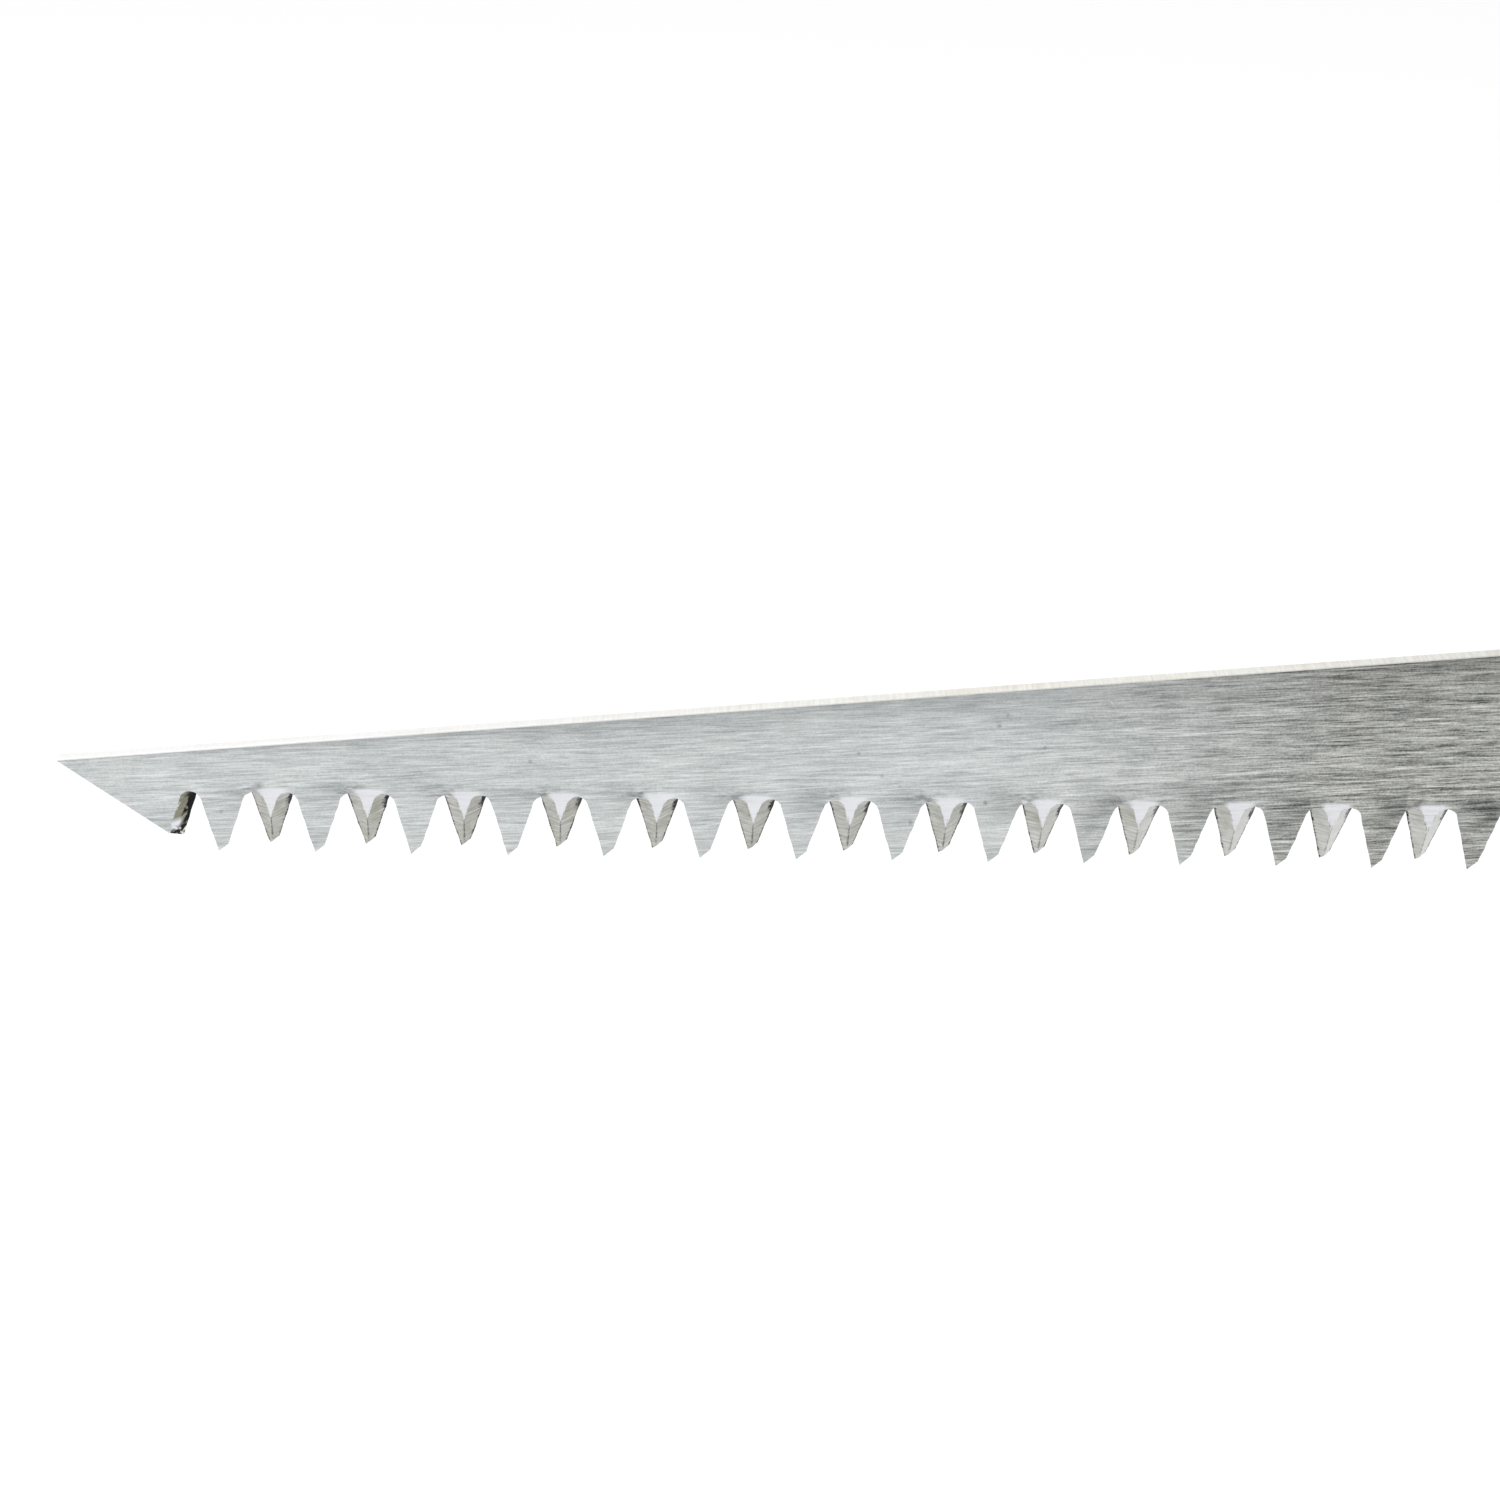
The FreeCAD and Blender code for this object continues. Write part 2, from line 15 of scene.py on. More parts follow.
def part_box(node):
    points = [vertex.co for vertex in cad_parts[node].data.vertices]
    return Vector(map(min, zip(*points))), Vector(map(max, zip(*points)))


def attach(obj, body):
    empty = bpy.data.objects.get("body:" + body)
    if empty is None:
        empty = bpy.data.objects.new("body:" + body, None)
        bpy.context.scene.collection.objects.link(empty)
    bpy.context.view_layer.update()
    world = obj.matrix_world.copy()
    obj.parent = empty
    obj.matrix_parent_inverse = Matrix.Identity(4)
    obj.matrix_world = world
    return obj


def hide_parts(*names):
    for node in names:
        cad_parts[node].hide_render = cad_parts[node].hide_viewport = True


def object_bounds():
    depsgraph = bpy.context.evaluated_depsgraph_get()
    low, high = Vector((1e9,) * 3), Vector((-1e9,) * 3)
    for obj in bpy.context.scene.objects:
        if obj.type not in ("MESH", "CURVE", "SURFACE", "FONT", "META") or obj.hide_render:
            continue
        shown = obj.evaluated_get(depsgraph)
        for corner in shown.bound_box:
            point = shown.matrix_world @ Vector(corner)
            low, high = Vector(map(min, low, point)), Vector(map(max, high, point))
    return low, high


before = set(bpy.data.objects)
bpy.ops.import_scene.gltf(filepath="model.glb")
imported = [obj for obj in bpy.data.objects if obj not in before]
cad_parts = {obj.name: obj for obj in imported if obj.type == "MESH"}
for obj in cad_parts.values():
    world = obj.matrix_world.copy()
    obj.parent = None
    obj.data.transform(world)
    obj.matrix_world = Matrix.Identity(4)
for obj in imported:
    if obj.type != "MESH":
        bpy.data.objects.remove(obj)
CAD_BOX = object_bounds()
MM = 0.001

# ---- blade, in millimetres, as in the CAD model --------------------------------------------------
PITCH = 25.4 / 8
THICKNESS = 1.0
BLADE_LENGTH = 300.0
TOE_HEIGHT = 6.3
TOE_ANGLE = 36.3
TOE_BLUNT = 0.1             # height of the blunt end of the toe
SPINE_ANGLE = 5.4
TOE_TO_FIRST_TIP = 10.25
FRONT_FLANK = 15.5
BACK_FLANK = 19.0
FLEAM = 44.0
GULLET_RADIUS = 0.72
TIP_WIDTH = 0.48
TIP_BEVEL = 40.0
TIP_FLEAM = 15.0
HEEL_LAND = 12.0
HEEL_LIFT = 0.9
HEEL_FLAT = 1.0             # straight end of the heel, before the ramp up to the tang
TANG_LENGTH = 64.0
TANG_BOTTOM = 6.0
TANG_RAMP = 9.0
TANG_RADIUS = 3.0           # rounding of the ramp's top and of the tang's upper end
TANG_END_RADIUS = 2.0       # rounding of the tang's lower end
SLOT_START = 26.0
SLOT_HALF_WIDTH = 3.3

# ---- blade, what only the visual mesh has --------------------------------------------------------
SET_LEAN = 0.21             # how far a tip leans out of the blade
BEND_ABOVE_GULLET = 0.42    # where the set starts
BEND_LENGTH = 0.22          # height over which the metal bends
DENT_DEPTH = 0.012          # bulge that the setting punch leaves above each tooth
DENT_HEIGHT = 0.7
EDGE_JITTER = 0.017         # grinding burr along the tooth edges
JITTER_SEED = 7
SPINE_ROUNDING = 0.1
RIM_START = 0.62            # share of the half thickness at which a ground facet's rim of painted shade starts
HOT_RIM_START = 0.0         # the same where the painted shade is darkest
FRONT_RIM = 0.8             # how dark the painted shade on the rims of the front flanks is, compared with the back flanks
HOTTEST_STEPS = 7           # steps from the top of a gullet where the painted shade is darkest
HOTTEST = 1.6               # how much darker it is there
TOE_FACET_MIDDLE = 0.7      # mark of the middle of the toe's facet: it runs from 0.4 to 1 across the facet
TOE_FACET_SPREAD = 0.3
POLISH_ABOVE_GULLET = 0.4   # how far above the gullets the painted highlight reaches on the face
POLISH_INSET = 0.35         # how far from its first gullet the painted highlight on a tooth starts
POLISH_FADE = 0.22
TOE_SPECKS_TOP = 1.1        # top of the speckled end of the painted reflection on the toe's facet, above the tips
TOE_SPECKS_FADE = 0.6
TOE_GLEAM = (1.1, 1.3, 1.8, 2.2)    # heights where the bright painted reflection above it fades in and out
SMUDGE_PLACE = (0.0, 0.15)  # painted shade on the gullets in front of the teeth set away, where the set bends them, from their tops
SMUDGE_SIZE = (1.15, 0.6)
STAIN_PLACE = (-1.6, 0.0)   # larger grey painted shade beside them, on the shoulders of the other teeth
STAIN_SIZE = (1.3, 0.85)
ARC_STEPS = 5
FLANK_STEPS = 7
NOSE_STEPS = 40
HEEL_STEPS = 6
CORNER_STEPS = 6
SLOT_STEPS = 12
ROWS_ON_TOOTH = 4
BEND_ROWS = (-0.26, -0.18, -0.10, 0.0, 0.12, 0.3, 0.6, 1.1, 1.8)    # heights above where the set starts
SLICES = (-1, -0.94, -0.84, -0.7, -0.4, 0, 0.4, 0.7, 0.84, 0.94, 1)     # shares of the half thickness
SPINE_SLICES = (0, 1, 2, -3, -2, -1)    # those of the slices that the flat top of the spine needs
SMALLEST_STEP = 0.0005      # least distance along the blade between two columns of a face
MERGE_DISTANCE = 1e-6
SHARP_ANGLE = 25
FACE, GROUND, SPINE = 0, 1, 2   # the blade's material slots


def tangent(degrees):
    return math.tan(math.radians(degrees))


HALF = THICKNESS / 2
FLEAM_SLOPE = tangent(FLEAM)
FLEAM_SHIFT = HALF * FLEAM_SLOPE
BACK_REACH = GULLET_RADIUS / math.cos(math.radians(BACK_FLANK))
FRONT_REACH = GULLET_RADIUS / math.cos(math.radians(FRONT_FLANK))
FLANK_SLOPES = tangent(BACK_FLANK) + tangent(FRONT_FLANK)
FLANK_ROOM = PITCH + 2 * FLEAM_SHIFT - BACK_REACH - FRONT_REACH - TIP_WIDTH
GULLET_Z = GULLET_RADIUS + FLANK_ROOM / FLANK_SLOPES
BEND_Z = GULLET_Z + BEND_ABOVE_GULLET
FIRST_FLANK_RUN = (GULLET_Z - GULLET_RADIUS) * tangent(FRONT_FLANK)
FIRST_GULLET = TOE_TO_FIRST_TIP + FLEAM_SHIFT - FRONT_REACH - FIRST_FLANK_RUN
TOOTH_COUNT = int((BLADE_LENGTH - HEEL_LAND - FIRST_GULLET) / PITCH)
TOE_SLOPE = tangent(TOE_ANGLE) - TOE_BLUNT / FIRST_GULLET


def spine_z(x):
    return TOE_HEIGHT + x * tangent(SPINE_ANGLE)


def toe_edge_z(x):
    return TOE_HEIGHT - TOE_BLUNT - x * TOE_SLOPE


def gullet_x(i, y):
    """Middle of gullet i in the slice at y. Neighbouring gullets are ground at opposite slants."""
    lean = 1 if i % 2 == 0 else -1
    return FIRST_GULLET + i * PITCH + lean * FLEAM_SLOPE * y


def set_side(i):
    """-1 for teeth that are set towards the near side, 1 for teeth that are set away from it."""
    return -1 if i % 2 == 0 else 1


def half_gullet(i, y, side, depth, angle):
    """Points (x, z) from the top of gullet i in the slice at y, down one side of it to a depth."""
    radius = GULLET_RADIUS
    middle = gullet_x(i, y)
    points = []
    for step in range(ARC_STEPS + 1):
        turn = math.radians(90 - (90 - angle) * step / ARC_STEPS)
        z = GULLET_Z - radius + radius * math.sin(turn)
        points.append((middle + side * radius * math.cos(turn), z))
    start_x, start_z = points[-1]
    end_z = GULLET_Z - depth
    for step in range(1, FLANK_STEPS + 1):
        z = start_z + (end_z - start_z) * step / FLANK_STEPS
        points.append((start_x + side * (start_z - z) * tangent(angle), z))
    return points


def tip_depths(i, y):
    """Depths at which tooth i's front and back flanks end in the slice at y.

    They end on the third facet, or on a ridge if the flanks meet above it.
    """
    front, back = tangent(FRONT_FLANK), tangent(BACK_FLANK)
    rise = tangent(TIP_BEVEL)
    front_x = gullet_x(i, y) + FRONT_REACH
    back_x = gullet_x(i + 1, y) - BACK_REACH
    side = set_side(i)
    corner_x = gullet_x(i, side * HALF) + FRONT_REACH + (GULLET_Z - GULLET_RADIUS) * front
    height = GULLET_Z - side * (side * HALF - y) * tangent(TIP_FLEAM) + rise * corner_x
    depth_front = (height - rise * (front_x - GULLET_RADIUS * front)) / (1 + rise * front)
    depth_back = (height - rise * (back_x + GULLET_RADIUS * back)) / (1 - rise * back)
    ridge = GULLET_RADIUS + (back_x - front_x) / (front + back)
    if ridge < depth_front:
        return ridge, ridge
    return depth_front, depth_back


def toe_meeting(y):
    """Depth at which the toe's edge meets the back flank of the first gullet."""
    back = tangent(BACK_FLANK)
    flank_x = gullet_x(0, y) - BACK_REACH
    top = TOE_HEIGHT - TOE_BLUNT
    return (GULLET_Z - top + TOE_SLOPE * (flank_x + GULLET_RADIUS * back)) / (1 + TOE_SLOPE * back)


def plain(points):
    """Edge points, as lower_edge gives them, that are neither set nor given painted rim shade."""
    return [(x, z, 0.0, 0.0, 0.0, 0.0) for x, z in points]


def tooth_flank(points, side, rim, ridge):
    """A tooth's flank as edge points. Across the gullet's round top it goes from no set to the full set."""
    last = len(points) - 1
    flank = []
    for k, (x, z) in enumerate(points):
        share = min(1.0, k / ARC_STEPS)
        # how much painted shade the point's rim gets, most near the top of the gullet
        scorch = rim * (HOTTEST if k < HOTTEST_STEPS else 1.0)
        flank.append((x, z, side * share, scorch, float(ridge and k == last), 0.0))
    return flank


def lower_edge(y):
    """The blade's lower edge in the slice at y.

    Each point is x, z, which way it is set (-1 to 1), how much painted shade its rim gets, whether it is on
    the ridge of a tooth, and how far across the toe's own facet it is (0.4 to 1, and 0 elsewhere).
    """
    edge = []
    flank = half_gullet(0, y, -1, toe_meeting(y), BACK_FLANK)
    nose_xs = [flank[-1][0] * step / NOSE_STEPS for step in range(NOSE_STEPS)]
    edge += plain((x, toe_edge_z(x)) for x in nose_xs)
    across = TOE_FACET_MIDDLE + TOE_FACET_SPREAD * y / HALF
    edge += [(x, z, 0.0, 1.0, 0.0, across) for x, z in reversed(flank)]
    for i in range(TOOTH_COUNT):
        depth_front, depth_back = tip_depths(i, y)
        ridge = depth_front == depth_back
        front = half_gullet(i, y, 1, depth_front, FRONT_FLANK)
        back = half_gullet(i + 1, y, -1, depth_back, BACK_FLANK)
        edge += tooth_flank(front, set_side(i), FRONT_RIM, ridge)[1:]
        edge += reversed(tooth_flank(back, set_side(i), 1.0, ridge))
    heel = half_gullet(TOOTH_COUNT, y, 1, GULLET_Z - HEEL_LIFT, FRONT_FLANK)[1:]
    edge += plain(heel)
    heel_start = heel[-1][0]
    heel_run = BLADE_LENGTH - TANG_RAMP - HEEL_FLAT - heel_start
    steps = range(1, HEEL_STEPS + 1)
    edge += plain((heel_start + heel_run * step / HEEL_STEPS, HEEL_LIFT) for step in steps)
    return np.array(edge)


def blade_rows(bottom, top):
    """Heights of the face's grid, from the lower edge to the spine, closest where the set bends."""
    rows = []
    lowest_bend = BEND_Z + BEND_ROWS[0]
    for step in range(ROWS_ON_TOOTH):
        rows.append(bottom + (lowest_bend - bottom) * step / ROWS_ON_TOOTH)
    for above in BEND_ROWS:
        rows.append(np.full_like(bottom, BEND_Z + above))
    rows.append(top)
    return np.clip(np.array(rows), bottom, top)


def punch_polish(x, z, face):
    """Painted highlight on a face: on teeth set away from it, to just above the gullets.

    The near face is -1 and the far face is 1.
    """
    tooth = np.floor((x - FIRST_GULLET) / PITCH)
    past = x - FIRST_GULLET - tooth * PITCH - FLEAM_SHIFT
    short = PITCH - 2 * FLEAM_SHIFT - past
    side = np.where(tooth % 2 == 0, -1, 1)
    struck = (side != face) & (tooth >= 0) & (tooth < TOOTH_COUNT)
    inside = np.clip((np.minimum(past - POLISH_INSET, short) + POLISH_FADE) / (2 * POLISH_FADE), 0, 1)
    below = np.clip((GULLET_Z + POLISH_ABOVE_GULLET - z) / POLISH_FADE, 0, 1)
    return struck * inside * below


def gullet_patch(x, z, face, place, size):
    """Soft patches on a face, one in front of each tooth that is set away from it.

    Their place is counted from the top of the gullet in front of that tooth.
    """
    tooth = np.round((x - place[0] - FIRST_GULLET) / PITCH)
    side = np.where(tooth % 2 == 0, -1, 1)
    across = x - FIRST_GULLET - tooth * PITCH + face * side * FLEAM_SHIFT
    spread = ((across - place[0]) / size[0]) ** 2 + ((z - GULLET_Z - place[1]) / size[1]) ** 2
    return (side != face) * (tooth > 0) * (tooth < TOOTH_COUNT) * np.exp(-spread)


def set_shift(z, side):
    """How far the set and the punch's dent move a point sideways."""
    below = np.clip(BEND_Z - z, 0, None)
    slope = SET_LEAN / BEND_Z
    bent = np.where(below < BEND_LENGTH, below ** 2 / (2 * BEND_LENGTH), below - BEND_LENGTH / 2)
    dent = np.exp(-np.clip(z - BEND_Z, 0, None) / DENT_HEIGHT)
    return side * (slope * bent + DENT_DEPTH * dent)


def rounded(corners):
    """Outline through (x, z, radius) corners with each corner rounded."""
    points = [Vector((x, z)) for x, z, _ in corners]
    outline = []
    for k in range(len(corners)):
        radius = corners[k][2]
        if radius == 0:
            outline.append(points[k])
            continue
        here = points[k]
        to_before = (points[k - 1] - here).normalized()
        to_after = (points[k + 1] - here).normalized()
        half = to_before.angle(to_after) / 2
        centre = here + (to_before + to_after).normalized() * radius / math.sin(half)
        start = here + to_before * radius / math.tan(half) - centre
        end = here + to_after * radius / math.tan(half) - centre
        turn = math.atan2(start.x * end.y - start.y * end.x, start.dot(end))
        for step in range(CORNER_STEPS + 1):
            outline.append(centre + Matrix.Rotation(turn * step / CORNER_STEPS, 2) @ start)
    return outline


def tang_outline():
    """From the heel's lower edge round the tang and its open slot to the spine in front of the handle."""
    end = BLADE_LENGTH + TANG_LENGTH
    top = spine_z(BLADE_LENGTH)
    middle = (TANG_BOTTOM + top) / 2
    low, high = middle - SLOT_HALF_WIDTH, middle + SLOT_HALF_WIDTH
    slot_x = BLADE_LENGTH + SLOT_START
    lower = rounded([
        (BLADE_LENGTH - TANG_RAMP - HEEL_FLAT, HEEL_LIFT, 0),
        (BLADE_LENGTH - TANG_RAMP, HEEL_LIFT, 0),
        (BLADE_LENGTH, TANG_BOTTOM, TANG_RADIUS),
        (end, TANG_BOTTOM, TANG_END_RADIUS),
        (end, low, 0),
    ])
    slot = []
    for step in range(SLOT_STEPS + 1):
        turn = math.radians(-90 - 180 * step / SLOT_STEPS)
        x = slot_x + SLOT_HALF_WIDTH * math.cos(turn)
        slot.append(Vector((x, middle + SLOT_HALF_WIDTH * math.sin(turn))))
    upper = rounded([
        (end, high, 0),
        (end, top, TANG_RADIUS),
        (BLADE_LENGTH, top, 0),
    ])
    return lower[1:] + slot + upper


def spine_drop(y):
    """How far the rounding of the spine's edges lowers it at y."""
    inward = max(0.0, abs(y) - (HALF - SPINE_ROUNDING)) / SPINE_ROUNDING
    return SPINE_ROUNDING * (1 - math.sqrt(1 - min(1.0, inward) ** 2))


class BladeMesh:
    """Collects the blade's points, its faces for each finish, and the marks that the finishes read."""

    def __init__(self):
        self.points = []
        self.faces = {FACE: [], GROUND: [], SPINE: []}
        self.marks = {"burnt": [], "ridge": [], "toe_facet": [], "polish": [], "smudge": [], "stain": []}

    def add_points(self, x, y, z, **marks):
        """Adds points and returns their numbers, shaped as x is. A mark that isn't given is 0."""
        first = len(self.points)
        self.points.extend(zip(x.ravel(), y.ravel(), z.ravel()))
        for name, values in self.marks.items():
            values.extend(marks.get(name, np.zeros(x.shape)).ravel())
        return first + np.arange(x.size).reshape(x.shape)

    def add_grid(self, numbers, finish, flip=False):
        for upper, lower in zip(numbers[:-1], numbers[1:]):
            for c in range(len(upper) - 1):
                quad = [upper[c], upper[c + 1], lower[c + 1], lower[c]]
                self.faces[finish].append(quad[::-1] if flip else quad)


def blade_piece():
    """The whole blade as one closed mesh, with finishes for its faces, ground edges and spine."""
    random = np.random.default_rng(JITTER_SEED)
    ys = np.array([HALF * s for s in SLICES])
    edges = np.array([lower_edge(y) for y in ys])
    smooth_x = edges[:, :, 0].copy()
    spacing = np.arange(edges.shape[1]) * SMALLEST_STEP
    for face in (0, -1):
        teeth = edges[face, NOSE_STEPS:, :2]
        teeth += random.normal(0, EDGE_JITTER, teeth.shape)
        edges[face, :, 0] = np.maximum.accumulate(edges[face, :, 0] - spacing) + spacing
    x, z, side, burnt, ridge, toe_facet = edges.transpose(2, 0, 1)
    rim_start = np.where(burnt == HOTTEST, HOT_RIM_START, RIM_START)
    outward = ys[:, None] / HALF * np.where(side < 0, -1, 1)
    burnt = burnt * np.clip((outward - rim_start) / (1 - rim_start), 0, 1)
    mesh = BladeMesh()

    faces = []
    last_burr_row = ROWS_ON_TOOTH + BEND_ROWS.index(0.0)
    for k, facing in ((0, -1), (-1, 1)):
        rows_z = blade_rows(z[k], spine_z(smooth_x[k]) - spine_drop(ys[k]))
        burr = np.clip(1 - np.arange(len(rows_z)) / last_burr_row, 0, 1)[:, None]
        rows_x = smooth_x[k] + burr * (x[k] - smooth_x[k])
        on_edge = {}
        for name, values in (("burnt", burnt), ("ridge", ridge), ("toe_facet", toe_facet)):
            on_edge[name] = np.zeros(rows_z.shape)
            on_edge[name][0] = values[k]
        # marks for painted light: a highlight on the teeth set away, shade at their bends and on the
        # shoulders beside them
        numbers = mesh.add_points(
            rows_x, ys[k] + set_shift(rows_z, side[k]), rows_z,
            polish=punch_polish(rows_x, rows_z, facing),
            smudge=gullet_patch(rows_x, rows_z, facing, SMUDGE_PLACE, SMUDGE_SIZE),
            stain=gullet_patch(rows_x, rows_z, facing, STAIN_PLACE, STAIN_SIZE),
            **on_edge,
        )
        mesh.add_grid(numbers, FACE, flip=facing > 0)
        faces.append(numbers)
    near, far = faces
    widths = np.repeat(ys[:, None], x.shape[1], axis=1)
    under_y = widths + set_shift(z, side)
    under = mesh.add_points(x, under_y, z, burnt=burnt, ridge=ridge, toe_facet=toe_facet)
    mesh.add_grid(under, GROUND, flip=True)
    kept = list(SPINE_SLICES)
    spine_x = smooth_x[kept]
    top = spine_z(spine_x) - np.array([spine_drop(ys[k]) for k in kept])[:, None]
    over = mesh.add_points(spine_x, widths[kept] + set_shift(top, side[kept]), top)
    mesh.add_grid(over, SPINE)

    tang_x, tang_z = np.array(tang_outline()).T
    near_tang, far_tang = [
        list(mesh.add_points(tang_x, np.full_like(tang_x, y), tang_z)) for y in (-HALF, HALF)
    ]
    toe = list(near[::-1, 0]) + list(under[1:-1, 0]) + list(far[:, 0]) + list(over[1:-1, 0][::-1])
    mesh.faces[GROUND].append(toe)
    mesh.faces[FACE].append(list(near[::-1, -1]) + near_tang)
    mesh.faces[FACE].append((list(far[::-1, -1]) + far_tang)[::-1])
    mesh.faces[GROUND].append([near_tang[0]] + list(under[:, -1]) + [far_tang[0]])
    mesh.faces[SPINE].append([far_tang[-1]] + list(over[::-1, -1]) + [near_tang[-1]])
    for k in range(len(near_tang) - 1):
        mesh.faces[SPINE].append([near_tang[k], far_tang[k], far_tang[k + 1], near_tang[k + 1]])
    return mesh_piece("blade_detailed", mesh)


def mesh_piece(name, source):
    """Closed object in metres from a BladeMesh in blade millimetres."""
    low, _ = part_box("blade")
    bm = bmesh.new()
    layers = {mark: bm.verts.layers.float.new(mark) for mark in source.marks}
    places = [bm.verts.new((low.x + x * MM, y * MM, low.z + z * MM)) for x, y, z in source.points]
    for mark, layer in layers.items():
        for place, value in zip(places, source.marks[mark]):
            place[layer] = value
    for finish, faces in source.faces.items():
        for face in faces:
            new = bm.faces.new([places[k] for k in face])
            new.material_index = finish
            new.smooth = True
    bmesh.ops.remove_doubles(bm, verts=bm.verts, dist=MERGE_DISTANCE)
    bmesh.ops.dissolve_degenerate(bm, edges=bm.edges, dist=MERGE_DISTANCE)
    bmesh.ops.recalc_face_normals(bm, faces=bm.faces)
    for edge in bm.edges:
        if len(edge.link_faces) == 2:
            edge.smooth = edge.calc_face_angle() < math.radians(SHARP_ANGLE)
    mesh = bpy.data.meshes.new(name)
    bm.to_mesh(mesh)
    bm.free()
    return link_object(name, mesh)


def link_object(name, data):
    """New object in the scene that holds a mesh, a camera or a light."""
    new = bpy.data.objects.new(name, data)
    bpy.context.scene.collection.objects.link(new)
    return new


# ---- finishes ------------------------------------------------------------------------------------
BRUSHED = (0, 3.2, 0)       # direction of the brush strokes, in degrees from the tooth line
LONG_SCRATCHES = (0, 4.6, 0)
TONE_WANDER = 0.018         # how far the painted shade along the blade's face wanders
TONE_LEAN = 0.25            # how much further from the toe it comes for each metre up
STONE = (0, 9, 0)           # direction of the grindstone's strokes
BOARD = (0, 8, 0)           # direction of the handle's grain
GRIP_TOP = 0.105            # the hand darkens the grip below this height over the handle's bottom
GRIP_FULL = 0.045           # and fully below this one
RUBBED_EDGE = (0.0055, 0.0012, 0.0022, 0.0002)  # pale edges of the grip, inward from the handle's sides
WASHER_RINGS = (0.0086, 0.0070)     # radius where the scraped rings end, and where they are full

# distances from the toe, in metres, over which the finishes and their painted light change
COARSE_SPAN = (0.060, 0.080)        # painted shade: the face darkens and its strokes show stronger contrast
STAIN_SPAN = (0.035, 0.095)         # the painted shade beside the gullets comes in
DARK_STAIN_SPAN = (0.080, 0.094)    # and becomes darker
LIT_EDGE_SPAN = (0.055, 0.085)      # painted light: the sides of the gullets that face away from the toe grow brighter
CREAM_SPAN = (0.015, 0.065)         # painted light: the spine turns from a white highlight to cream
DIM_SPINE_SPAN = (0.075, 0.100)     # and becomes a little darker


